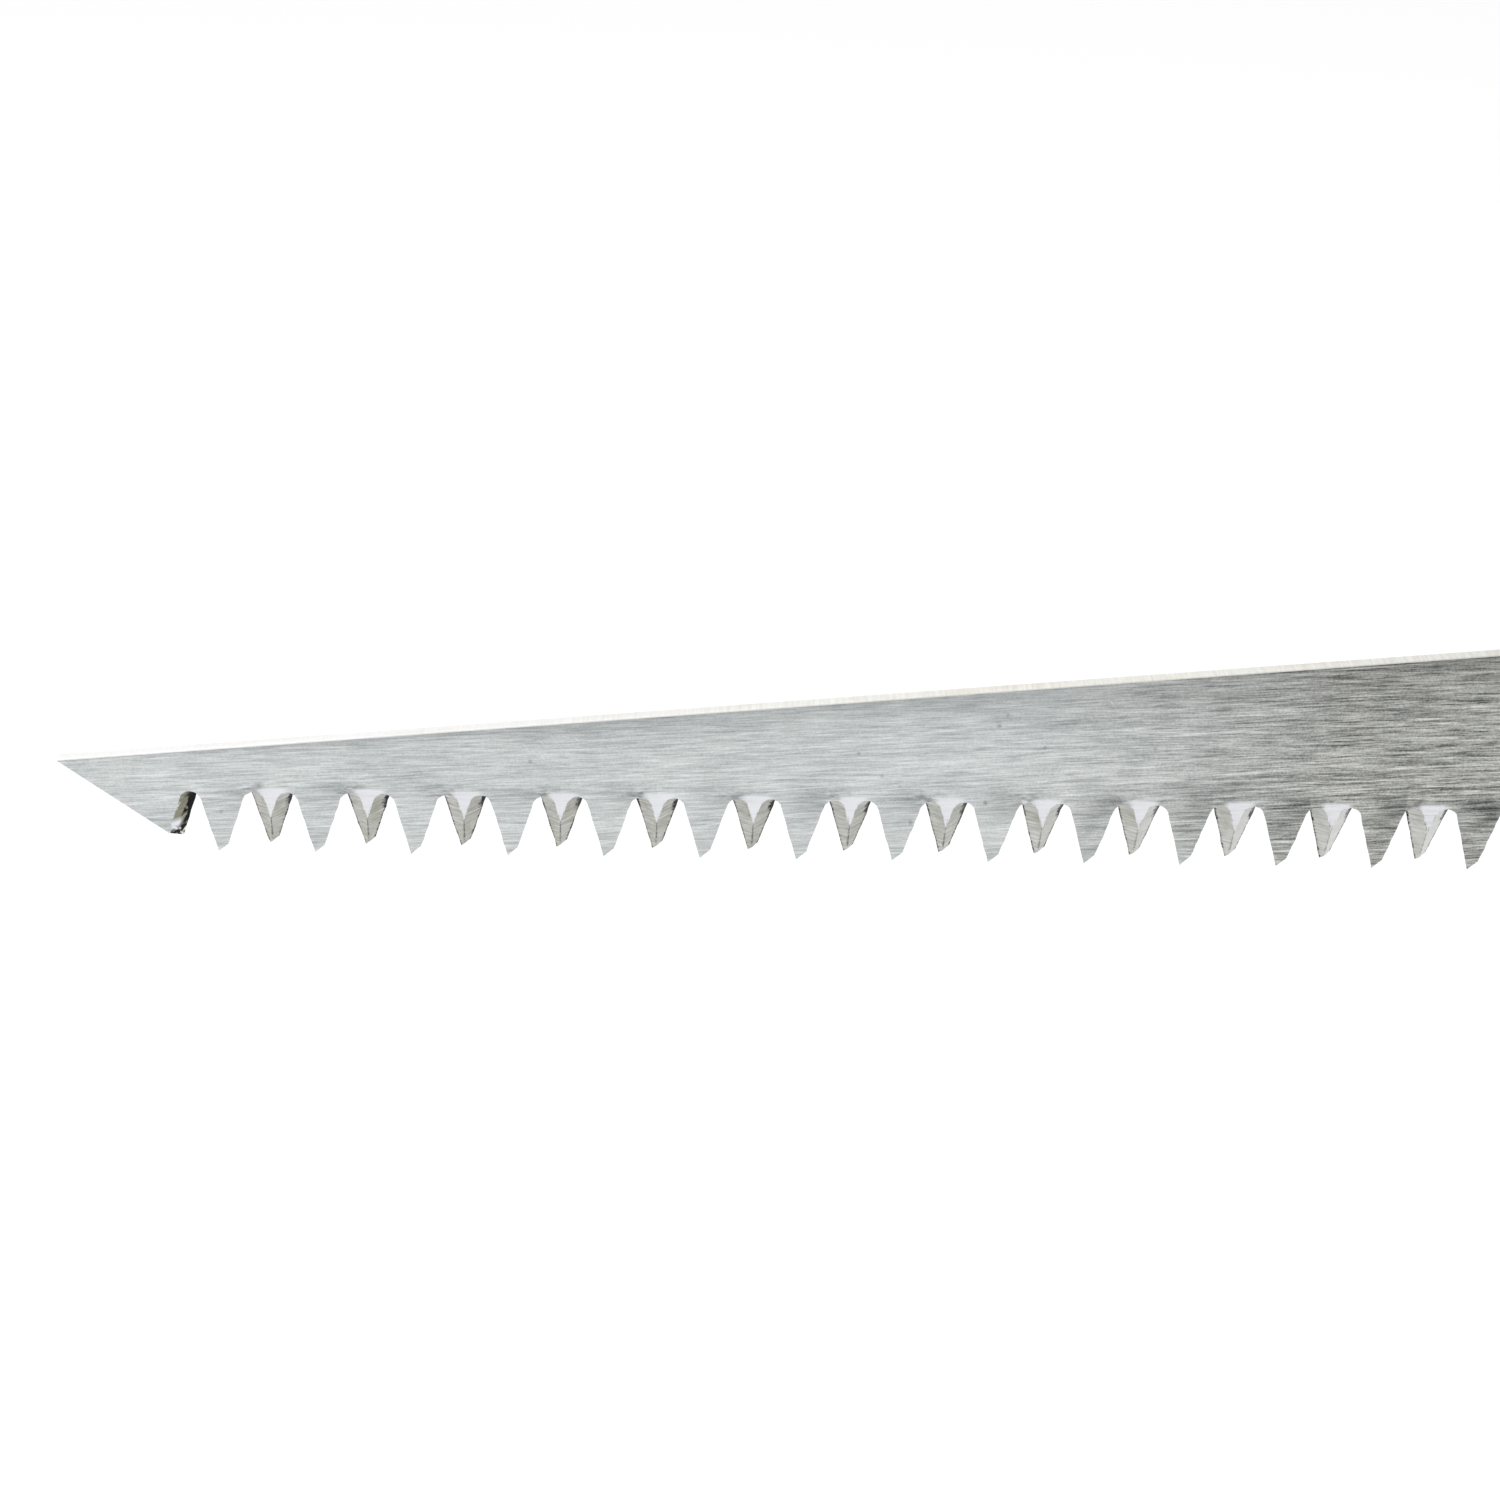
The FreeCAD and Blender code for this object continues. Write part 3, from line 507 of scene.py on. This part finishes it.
class Finish:
    """A material being wired up from procedural nodes around one Principled shader."""

    def __init__(self, name):
        self.material = bpy.data.materials.new(name)
        self.material.use_nodes = True
        self.tree = self.material.node_tree
        self.shader = self.tree.nodes["Principled BSDF"]
        self.object = self.node("ShaderNodeTexCoord").outputs["Object"]

    def node(self, kind, links=None, values=None, **settings):
        """Adds a node, joins links to its inputs and sets its other inputs and settings."""
        new = self.tree.nodes.new(kind)
        for key, value in settings.items():
            setattr(new, key, value)
        for key, value in (values or {}).items():
            new.inputs[key].default_value = value
        for key, output in (links or {}).items():
            self.tree.links.new(output, new.inputs[key])
        return new

    def placed(self, scale, rotation=(0, 0, 0)):
        """The object's own coordinates, turned and then scaled per axis, in features per metre."""
        turned = self.node("ShaderNodeMapping", {"Vector": self.object})
        turned.inputs["Rotation"].default_value = [math.radians(a) for a in rotation]
        scaled = self.node("ShaderNodeMapping", {"Vector": turned.outputs["Vector"]})
        scaled.inputs["Scale"].default_value = scale
        return scaled.outputs["Vector"]

    def noise(self, scale, detail=3.0, roughness=0.5, rotation=(0, 0, 0), distortion=0.0):
        """Noise with its own number of features per metre along each axis."""
        made = self.node(
            "ShaderNodeTexNoise",
            {"Vector": self.placed(scale, rotation)},
            {"Scale": 1.0, "Detail": detail, "Roughness": roughness, "Distortion": distortion},
        )
        return made.outputs["Fac"]

    def spots(self, scale, radius):
        """1 inside small round spots scattered through the material, 0 outside."""
        cells = self.node("ShaderNodeTexVoronoi", {"Vector": self.placed(scale)}, {"Scale": 1.0})
        return self.ramp(cells.outputs["Distance"], [(0.0, 1.0), (radius, 0.0)])

    def ramp(self, value, stops):
        """Maps a value through (position, level or colour) stops."""
        ramp = self.node("ShaderNodeValToRGB", {"Fac": value})
        elements = ramp.color_ramp.elements
        for k, (position, level) in enumerate(stops):
            element = elements[k] if k < 2 else elements.new(position)
            element.position = position
            element.color = (*level, 1.0) if isinstance(level, tuple) else (level, level, level, 1.0)
        return ramp.outputs["Color"]

    def span(self, value, low, high, to_low=0.0, to_high=1.0):
        """Maps the range from low to high to another range, clamped."""
        made = self.node(
            "ShaderNodeMapRange",
            {"Value": value},
            {"From Min": low, "From Max": high, "To Min": to_low, "To Max": to_high},
        )
        return made.outputs["Result"]

    def further(self, along, start, distances, to_low=0.0, to_high=1.0):
        """Changes over a pair of distances from start."""
        return self.span(along, start + distances[0], start + distances[1], to_low, to_high)

    def weighted(self, parts):
        """The sum of outputs, each times its weight."""
        total = None
        for output, weight in parts:
            share = self.maths("MULTIPLY", output, weight)
            total = share if total is None else self.maths("ADD", total, share)
        return total

    def mark(self, name):
        """A mark that the mesh carries."""
        return self.node("ShaderNodeAttribute", attribute_name=name).outputs["Fac"]

    def mix(self, factor, first, second, blend="MIX"):
        """Blends two colours, each an output or a constant."""
        made = self.node("ShaderNodeMix", data_type="RGBA", blend_type=blend)
        for socket, value in ((made.inputs[0], factor), (made.inputs[6], first), (made.inputs[7], second)):
            self.feed(socket, value)
        return made.outputs[2]

    def maths(self, operation, first, second):
        made = self.node("ShaderNodeMath", operation=operation)
        self.feed(made.inputs[0], first)
        self.feed(made.inputs[1], second)
        return made.outputs[0]

    def feed(self, socket, value):
        if isinstance(value, bpy.types.NodeSocket):
            self.tree.links.new(value, socket)
        elif isinstance(value, tuple):
            socket.default_value = (*value, 1.0)
        else:
            socket.default_value = value

    def bump(self, height, depth, strength=1.0, under=None):
        links = {"Height": height}
        if under is not None:
            links["Normal"] = under
        made = self.node("ShaderNodeBump", links, {"Strength": strength, "Distance": depth})
        return made.outputs["Normal"]

    def finish(self, color, roughness, normal=None, metallic=1.0, **constants):
        self.feed(self.shader.inputs["Base Color"], color)
        self.feed(self.shader.inputs["Roughness"], roughness)
        self.shader.inputs["Metallic"].default_value = metallic
        if normal is not None:
            self.tree.links.new(normal, self.shader.inputs["Normal"])
        for key, value in constants.items():
            self.shader.inputs[key.replace("_", " ")].default_value = value
        return self.material


def brushed_blade():
    """The blade's faces: brush strokes along the blade, with painted shade that makes them darker and of
    stronger contrast away from the toe.
    """
    f = Finish("blade_brushed_steel")
    hair = f.noise((640, 640, 15000), 3.0, 0.65, BRUSHED)
    strokes = f.noise((230, 230, 5600), 4.0, 0.65, BRUSHED, 0.25)
    bands = f.noise((60, 60, 900), 3.0, 0.5, BRUSHED)
    grain = f.noise((9000, 9000, 9000), 2.0, 0.6)
    cloud = f.noise((130, 130, 210), 4.0, 0.6)
    wander = f.noise((45, 45, 60), 3.0, 0.5)

    streaks = f.weighted([(hair, 0.36), (strokes, 0.36), (bands, 0.12), (grain, 0.16)])
    place = f.node("ShaderNodeSeparateXYZ", {"Vector": f.object}).outputs
    along = f.weighted([(place["X"], 1.0), (wander, TONE_WANDER), (place["Z"], -TONE_LEAN)])
    low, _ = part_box("blade")
    start = low.x + 0.5 * TONE_WANDER - TONE_LEAN * low.z
    coarse = f.further(along, start, COARSE_SPAN)
    # a lit copy of the strokes near the toe and a shaded copy further on: painted shade along the blade
    near_toe = f.ramp(streaks, [
        (0.40, (0.37, 0.395, 0.40)), (0.5, (0.54, 0.565, 0.56)), (0.60, (0.69, 0.71, 0.71)),
    ])
    further = f.ramp(streaks, [
        (0.40, (0.08, 0.085, 0.078)), (0.5, (0.35, 0.355, 0.335)), (0.60, (0.68, 0.68, 0.65)),
    ])
    color = f.mix(coarse, near_toe, further)
    color = f.mix(f.span(cloud, 0.38, 0.68, 0.0, 0.5), color, (0.80, 0.81, 0.82), "MULTIPLY")

    dark_lines = f.noise((190, 190, 7000), 2.0, 0.5, BRUSHED)
    light_lines = f.noise((110, 110, 9500), 1.0, 0.5, LONG_SCRATCHES)
    color = f.mix(f.span(dark_lines, 0.66, 0.74, 0.0, 0.45), color, (0.22, 0.225, 0.22))
    color = f.mix(f.span(light_lines, 0.70, 0.76, 0.0, 0.55), color, (0.88, 0.89, 0.89))
    for turn in (62, -48):
        nick = f.noise((700, 700, 16000), 0.0, 0.5, (0, turn, 0))
        patch = f.noise((170, 170, 170), 1.0, 0.5, (0, turn, 0))
        short = f.maths("MULTIPLY", f.span(nick, 0.72, 0.78), f.span(patch, 0.66, 0.72, 0.0, 0.4))
        color = f.mix(short, color, (0.86, 0.87, 0.87))
    pits = f.maths("MULTIPLY", f.spots((420, 420, 420), 0.09), f.span(cloud, 0.45, 0.55))
    color = f.mix(f.maths("MULTIPLY", pits, 0.7), color, (0.12, 0.12, 0.11))

    # painted shade where the set bends the metal above the gullets
    smoke = f.noise((1500, 1500, 4200), 4.0, 0.65)
    smudge = f.maths("MULTIPLY", f.mark("smudge"), f.span(smoke, 0.42, 0.64, 0.05, 1.0))
    color = f.mix(f.maths("MULTIPLY", smudge, 0.8), color, (0.13, 0.135, 0.14))
    # painted grey shade on the shoulders beside the gullets, stronger away from the toe
    stain = f.maths("MULTIPLY", f.mark("stain"), f.further(along, start, STAIN_SPAN, 0.25, 1.0))
    stain = f.maths("MULTIPLY", stain, f.span(streaks, 0.42, 0.58, 1.0, 0.6))
    stain = f.maths("MULTIPLY", stain, f.further(along, start, DARK_STAIN_SPAN, 1.0, 1.6))
    color = f.mix(stain, color, (0.36, 0.38, 0.375), "MULTIPLY")
    # painted highlight on the teeth set away from this face
    polish = f.maths("MULTIPLY", f.mark("polish"), f.span(streaks, 0.35, 0.6, 0.72, 1.0))
    color = f.mix(polish, color, (0.715, 0.72, 0.75))

    roughness = f.span(streaks, 0.35, 0.65, 0.42, 0.28)
    strokes_run = f.node("ShaderNodeTangent", direction_type="UV_MAP", uv_map="along").outputs["Tangent"]
    f.feed(f.shader.inputs["Tangent"], strokes_run)
    return f.finish(color, roughness, f.bump(streaks, 0.00001, 0.6), Anisotropic=0.6)


def ground_edges():
    """The ground facets and gullets: grey with the strokes of the stone, with painted shade on their rims
    and gullet tops, and dark ridges.
    """
    f = Finish("blade_ground_steel")
    stone = f.noise((500, 500, 12000), 3.0, 0.6, STONE, 0.9)
    cloud = f.noise((900, 900, 900), 3.0, 0.6)
    chips = f.noise((3500, 3500, 6500), 3.0, 0.6)
    color = f.ramp(stone, [
        (0.32, (0.32, 0.32, 0.295)), (0.5, (0.445, 0.445, 0.42)), (0.68, (0.60, 0.60, 0.58)),
    ])
    color = f.mix(f.span(cloud, 0.46, 0.66, 0.0, 0.5), color, (0.66, 0.66, 0.54), "MULTIPLY")

    # painted shade: dark rims on the far sides of the facets and in the tops of the gullets
    burnt = f.maths("MULTIPLY", f.mark("burnt"), f.span(chips, 0.42, 0.56))
    outline = f.span(f.mark("burnt"), 0.40, 1.2, 0.0, 0.95)
    scorched = f.maths("MAXIMUM", f.span(burnt, 0.2, 0.6), outline)
    color = f.mix(scorched, color, (0.016, 0.016, 0.018))
    ridge = f.span(f.mark("ridge"), 0.25, 0.85, 0.0, 0.8)
    color = f.mix(f.maths("MULTIPLY", ridge, f.span(chips, 0.35, 0.5)), color, (0.06, 0.06, 0.07))

    # painted light: facets whose normals point away from the toe are brighter, more so away from the toe
    normal = f.node("ShaderNodeTexCoord").outputs["Normal"]
    facing = f.node("ShaderNodeSeparateXYZ", {"Vector": normal}).outputs["X"]
    place = f.node("ShaderNodeSeparateXYZ", {"Vector": f.object}).outputs
    low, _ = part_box("blade")
    from_toe = f.further(place["X"], low.x, LIT_EDGE_SPAN)
    lighter = f.maths("MULTIPLY", f.span(facing, -0.2, 0.2, 0.25, 0.8), from_toe)
    unburnt = f.maths("SUBTRACT", 1.0, scorched)
    color = f.mix(f.maths("MULTIPLY", lighter, unburnt), color, (0.69, 0.69, 0.69))
    color = toe_facet(f, color, f.maths("SUBTRACT", place["Z"], low.z))
    return f.finish(color, f.span(stone, 0.3, 0.7, 0.42, 0.28), f.bump(stone, 0.00002, 0.8))


def toe_facet(f, color, height):
    """Adds the painted mirror reflection on the facet beside the toe: black far side, bright patch and
    speckled lower end.
    """
    across = f.mark("toe_facet")
    # the facet's olive, black, bright and speckled colours are a painted reflection
    glints = f.noise((700, 700, 1000), 2.0, 0.5, (0, 40, 0), 0.6)
    shaded = f.maths("ADD", f.span(glints, 0.3, 0.7, -0.5, 0.5), f.span(across, 0.4, 1.0))
    toe_color = f.mix(0.75, color, (0.42, 0.42, 0.27), "MULTIPLY")
    toe_color = f.mix(f.span(glints, 0.60, 0.64), toe_color, (0.74, 0.75, 0.78))
    toe_color = f.mix(f.span(shaded, 0.46, 0.58), toe_color, (0.008, 0.008, 0.009))
    specks = f.noise((2600, 2600, 2600), 2.0, 0.5)
    bottom, full, fading, top = [level * MM for level in TOE_GLEAM]
    gleam = f.maths("MULTIPLY", f.span(height, bottom, full), f.span(height, top, fading))
    gleam = f.maths("MULTIPLY", gleam, f.span(across, 0.78, 0.68))
    toe_color = f.mix(f.maths("MULTIPLY", gleam, 0.9), toe_color, (0.78, 0.80, 0.85))
    specks_top = TOE_SPECKS_TOP * MM
    speckled = f.span(height, specks_top, specks_top + TOE_SPECKS_FADE * MM, 1.0, 0.0)
    toe_color = f.mix(speckled, toe_color, f.ramp(specks, [(0.44, 0.01), (0.50, 0.10), (0.58, 0.75)]))
    return f.mix(f.span(across, 0.02, 0.3), color, toe_color)


def sheared_spine():
    """The spine and the tang's edges: a painted bright highlight, creamy away from the toe, with faint
    marks across them.
    """
    f = Finish("blade_spine_steel")
    marks = f.noise((3800, 300, 300), 3.0, 0.6)
    patches = f.noise((160, 700, 700), 3.0, 0.6)
    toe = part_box("blade")[0].x
    along = f.node("ShaderNodeSeparateXYZ", {"Vector": f.object}).outputs["X"]
    # painted highlight: white near the toe, turning cream and dimmer further along
    white = f.ramp(marks, [(0.35, (0.95, 0.95, 0.94)), (0.65, (1.0, 1.0, 1.0))])
    cream = f.ramp(marks, [(0.35, (0.80, 0.785, 0.73)), (0.65, (0.92, 0.915, 0.87))])
    color = f.mix(f.further(along, toe, CREAM_SPAN), white, cream)
    color = f.mix(f.further(along, toe, DIM_SPINE_SPAN), color, (0.87, 0.87, 0.88), "MULTIPLY")
    color = f.mix(f.span(patches, 0.5, 0.7, 0.0, 0.4), color, (0.90, 0.85, 0.76), "MULTIPLY")
    return f.finish(color, f.span(marks, 0.3, 0.7, 0.5, 0.35), f.bump(marks, 0.00001, 0.5))


def oiled_wood():
    """Beech: grain along the board, growth bands, the short dark flecks of its rays, wear from the hand."""
    f = Finish("handle_beech")
    rings = f.noise((5, 60, 170), 4.0, 0.55, BOARD, 0.35)
    fibres = f.noise((110, 2600, 2600), 3.0, 0.6, BOARD)
    flecks = f.noise((330, 1500, 2300), 2.0, 0.5, BOARD)
    pores = f.noise((600, 6500, 6500), 2.0, 0.5, BOARD)
    warp = f.noise((9, 30, 30), 3.0, 0.5)
    hand = f.noise((28, 28, 28), 3.0, 0.55)
    color = f.ramp(rings, [
        (0.28, (0.36, 0.165, 0.062)), (0.45, (0.47, 0.235, 0.098)),
        (0.56, (0.56, 0.305, 0.14)), (0.72, (0.64, 0.375, 0.185)),
    ])
    color = f.mix(f.span(fibres, 0.35, 0.65, 0.0, 0.45), color, (0.66, 0.54, 0.43), "MULTIPLY")
    color = f.mix(f.span(flecks, 0.63, 0.68, 0.0, 0.7), color, (0.17, 0.075, 0.03))
    color = f.mix(f.span(pores, 0.64, 0.70, 0.0, 0.5), color, (0.12, 0.05, 0.02))
    color = f.mix(f.span(warp, 0.4, 0.7, 0.0, 0.4), color, (0.80, 0.70, 0.58), "MULTIPLY")

    place = f.node("ShaderNodeSeparateXYZ", {"Vector": f.object}).outputs
    low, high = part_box("handle")
    grip = f.span(place["Z"], low.z + GRIP_FULL, low.z + GRIP_TOP, 1.0, 0.0)
    held = f.maths("MULTIPLY", f.span(hand, 0.38, 0.62, 0.25, 1.0), grip)
    color = f.mix(f.maths("MULTIPLY", held, 0.55), color, (0.62, 0.50, 0.40), "MULTIPLY")
    from_middle = f.maths("ABSOLUTE", place["Y"], 0.0)
    inner, full, fading, outer = [high.y - distance for distance in RUBBED_EDGE]
    rounding = f.span(from_middle, inner, full)
    edge = f.maths("MULTIPLY", f.span(from_middle, outer, fading), rounding)
    rubbed = f.maths("MULTIPLY", edge, f.span(hand, 0.50, 0.66))
    color = f.mix(f.maths("MULTIPLY", rubbed, 0.6), color, (0.74, 0.50, 0.29))

    fleck_dips, pore_dips = f.span(flecks, 0.62, 0.70), f.span(pores, 0.62, 0.70)
    relief = f.weighted([(fibres, 1.0), (fleck_dips, -0.8), (pore_dips, -0.6)])
    matt = f.maths("SUBTRACT", f.span(fibres, 0.3, 0.7, 0.40, 0.54), f.maths("MULTIPLY", held, 0.12))
    return f.finish(
        color, matt, f.bump(relief, 0.00006, 0.55), metallic=0.0, Coat_Weight=0.2, Coat_Roughness=0.28,
    )


def worn_brass():
    """Satin brass with fine rubbing marks, patches of brown tarnish and rings scraped by the washer."""
    f = Finish("brass_worn")
    rubbed = f.noise((900, 900, 9000), 3.0, 0.6, (0, 25, 0))
    tarnish = f.noise((160, 160, 160), 5.0, 0.65)
    blots = f.noise((900, 900, 900), 3.0, 0.6)
    color = f.ramp(rubbed, [
        (0.33, (0.60, 0.38, 0.13)), (0.5, (0.74, 0.51, 0.21)), (0.67, (0.88, 0.67, 0.34)),
    ])
    color = f.mix(f.span(tarnish, 0.46, 0.70, 0.0, 0.8), color, (0.31, 0.175, 0.065))
    color = f.mix(f.span(blots, 0.66, 0.74, 0.0, 0.6), color, (0.14, 0.075, 0.03))
    color = f.mix(f.maths("MULTIPLY", washer_rings(f), 0.6), color, (0.93, 0.75, 0.42))
    roughness = f.maths("ADD", f.span(rubbed, 0.3, 0.7, 0.20, 0.32), f.span(tarnish, 0.46, 0.70, 0.0, 0.22))
    return f.finish(color, roughness, f.bump(rubbed, 0.00001, 0.5))


def washer_rings(f):
    """Rings round the clamp's axis, under the washer and just past its edge."""
    low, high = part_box("clamp_washer")
    centred = f.node("ShaderNodeVectorMath", {0: f.object}, {1: (low + high) / 2}, operation="SUBTRACT")
    flat = f.node(
        "ShaderNodeVectorMath", {0: centred.outputs["Vector"]}, {1: (1, 0, 1)}, operation="MULTIPLY",
    )
    length = f.node("ShaderNodeVectorMath", {0: flat.outputs["Vector"]}, operation="LENGTH")
    radius = length.outputs["Value"]
    rings = f.node(
        "ShaderNodeTexNoise", {"W": radius}, {"Scale": 7000.0, "Detail": 2.0}, noise_dimensions="1D",
    )
    return f.maths("MULTIPLY", f.span(rings.outputs["Fac"], 0.5, 0.6), f.span(radius, *WASHER_RINGS))


def plated_steel(name, tint, lines_scale):
    """Zinc-plated or ground steel: crystals and machining lines, darker smears and small dark nicks."""
    f = Finish(name)
    crystals = f.noise((1300, 1300, 1300), 4.0, 0.65)
    lines = f.noise(lines_scale, 3.0, 0.6)
    smears = f.noise((170, 170, 170), 4.0, 0.6)
    nicks = f.noise((2200, 2200, 2200), 2.0, 0.5)
    dim = tuple(0.66 * c for c in tint)
    color = f.ramp(lines, [(0.34, dim), (0.66, tint)])
    color = f.mix(f.span(crystals, 0.4, 0.7, 0.0, 0.35), color, (0.66, 0.70, 0.76), "MULTIPLY")
    color = f.mix(f.span(smears, 0.5, 0.7, 0.0, 0.5), color, (0.50, 0.48, 0.44), "MULTIPLY")
    color = f.mix(f.span(nicks, 0.68, 0.73, 0.0, 0.7), color, (0.13, 0.12, 0.11))
    roughness = f.span(smears, 0.35, 0.65, 0.24, 0.44)
    return f.finish(color, roughness, f.bump(crystals, 0.000015, 0.5))


# ---- studio --------------------------------------------------------------------------------------
CAMERA_TARGET = (45.2, 7.7)     # point of the blade in the middle of the picture, in blade millimetres
CAMERA_DISTANCE = 186.7
CAMERA_AZIMUTH = -0.4
CAMERA_ELEVATION = 23.0
CAMERA_ROLL = 1.0
CAMERA_LENS = 68.8
CAMERA_NEAR = 0.01
CAMERA_FAR = 20
FLOOR_REACH = 6.0
FLOOR_GREY = (0.9, 0.9, 0.9)
FLOOR_GLOW = 0.13
WHITE = (1.0, 1.0, 1.0)
SKY_TOP = (-0.15, 0.55, 0.8)    # direction of the brightest part of the sky
SKY_FADE = {"From Min": -0.6, "From Max": 0.9, "To Min": 0.55, "To Max": 1.0}
KEY_PLACE = (-0.6, -0.5, 0.9)   # from the middle of the saw
KEY_SIZE = 0.7
KEY_POWER = 4.0


def make_camera():
    low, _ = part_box("blade")
    target = Vector((low.x + CAMERA_TARGET[0] * MM, -HALF * MM, low.z + CAMERA_TARGET[1] * MM))
    azimuth, elevation = math.radians(CAMERA_AZIMUTH), math.radians(CAMERA_ELEVATION)
    back = Vector((
        math.sin(azimuth) * math.cos(elevation),
        -math.cos(azimuth) * math.cos(elevation),
        math.sin(elevation),
    ))
    camera = link_object("camera", bpy.data.cameras.new("camera"))
    camera.data.lens = CAMERA_LENS
    camera.data.clip_start = CAMERA_NEAR
    camera.data.clip_end = CAMERA_FAR
    camera.location = target + back * CAMERA_DISTANCE * MM
    turn = (-back).to_track_quat("-Z", "Y").to_matrix().to_4x4()
    turn = turn @ Matrix.Rotation(math.radians(CAMERA_ROLL), 4, "Z")
    camera.rotation_euler = turn.to_euler()
    bpy.context.scene.camera = camera


def make_floor():
    """Pale floor just under the object."""
    height = CAD_BOX[0].z
    mesh = bpy.data.meshes.new("floor")
    corners = [(FLOOR_REACH * x, FLOOR_REACH * y, height) for x, y in ((-1, -1), (1, -1), (1, 1), (-1, 1))]
    mesh.from_pydata(corners, [], [(0, 1, 2, 3)])
    floor = link_object("floor", mesh)
    f = Finish("studio_floor")
    f.feed(f.shader.inputs["Emission Color"], WHITE)
    mesh.materials.append(f.finish(FLOOR_GREY, 0.9, metallic=0.0, Emission_Strength=FLOOR_GLOW))


def make_sky():
    """Soft light from all round, brightest overhead and behind the saw and dimmest in front of it."""
    world = bpy.data.worlds.new("studio")
    world.use_nodes = True
    tree = world.node_tree
    direction = tree.nodes.new("ShaderNodeTexCoord").outputs["Generated"]
    gradient = tree.nodes.new("ShaderNodeVectorMath")
    gradient.operation = "DOT_PRODUCT"
    gradient.inputs[1].default_value = Vector(SKY_TOP).normalized()
    tree.links.new(direction, gradient.inputs[0])
    level = tree.nodes.new("ShaderNodeMapRange")
    for key, value in SKY_FADE.items():
        level.inputs[key].default_value = value
    tree.links.new(gradient.outputs["Value"], level.inputs["Value"])
    background = tree.nodes["Background"]
    background.inputs["Color"].default_value = (*WHITE, 1.0)
    tree.links.new(level.outputs["Result"], background.inputs["Strength"])
    bpy.context.scene.world = world


def make_key_light():
    """Square softbox that faces the middle of the saw."""
    light = bpy.data.lights.new("key", "AREA")
    light.size = KEY_SIZE
    light.energy = KEY_POWER
    lamp = link_object("key", light)
    lamp.location = (CAD_BOX[0] + CAD_BOX[1]) / 2 + Vector(KEY_PLACE)
    lamp.rotation_euler = (-Vector(KEY_PLACE)).to_track_quat("-Z", "Y").to_euler()


def make_studio():
    make_camera()
    make_floor()
    make_sky()
    make_key_light()
    bpy.context.scene.view_settings.view_transform = "Standard"


# ---- pieces --------------------------------------------------------------------------------------
def use_finish(nodes, material):
    """Gives CAD nodes a new material."""
    for name in nodes:
        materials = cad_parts[name].data.materials
        materials.clear()
        materials.append(material)


def add_streak_direction(piece):
    """A UV map that runs along the blade, which gives the streaks their direction."""
    layer = piece.data.uv_layers.new(name="along")
    places = np.array([v.co for v in piece.data.vertices])
    corners = np.array([loop.vertex_index for loop in piece.data.loops])
    layer.data.foreach_set("uv", places[corners][:, (0, 2)].astype(np.float32).ravel())


def make_blade():
    blade = blade_piece()
    for material in (brushed_blade(), ground_edges(), sheared_spine()):
        blade.data.materials.append(material)
    add_streak_direction(blade)
    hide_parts("blade")
    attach(blade, "blade")


make_blade()
use_finish(["handle"], oiled_wood())
use_finish(
    ["near_cheek_plate", "far_cheek_plate", "near_plate_screws", "far_plate_screws", "hanging_eyelet"],
    worn_brass(),
)
use_finish(
    ["clamp_bolt", "clamp_washer", "wing_nut"],
    plated_steel("zinc_plated_steel", (0.70, 0.71, 0.73), (900, 900, 900)),
)
use_finish(["guide_pin"], plated_steel("ground_pin_steel", (0.60, 0.60, 0.61), (9000, 300, 9000)))
make_studio()
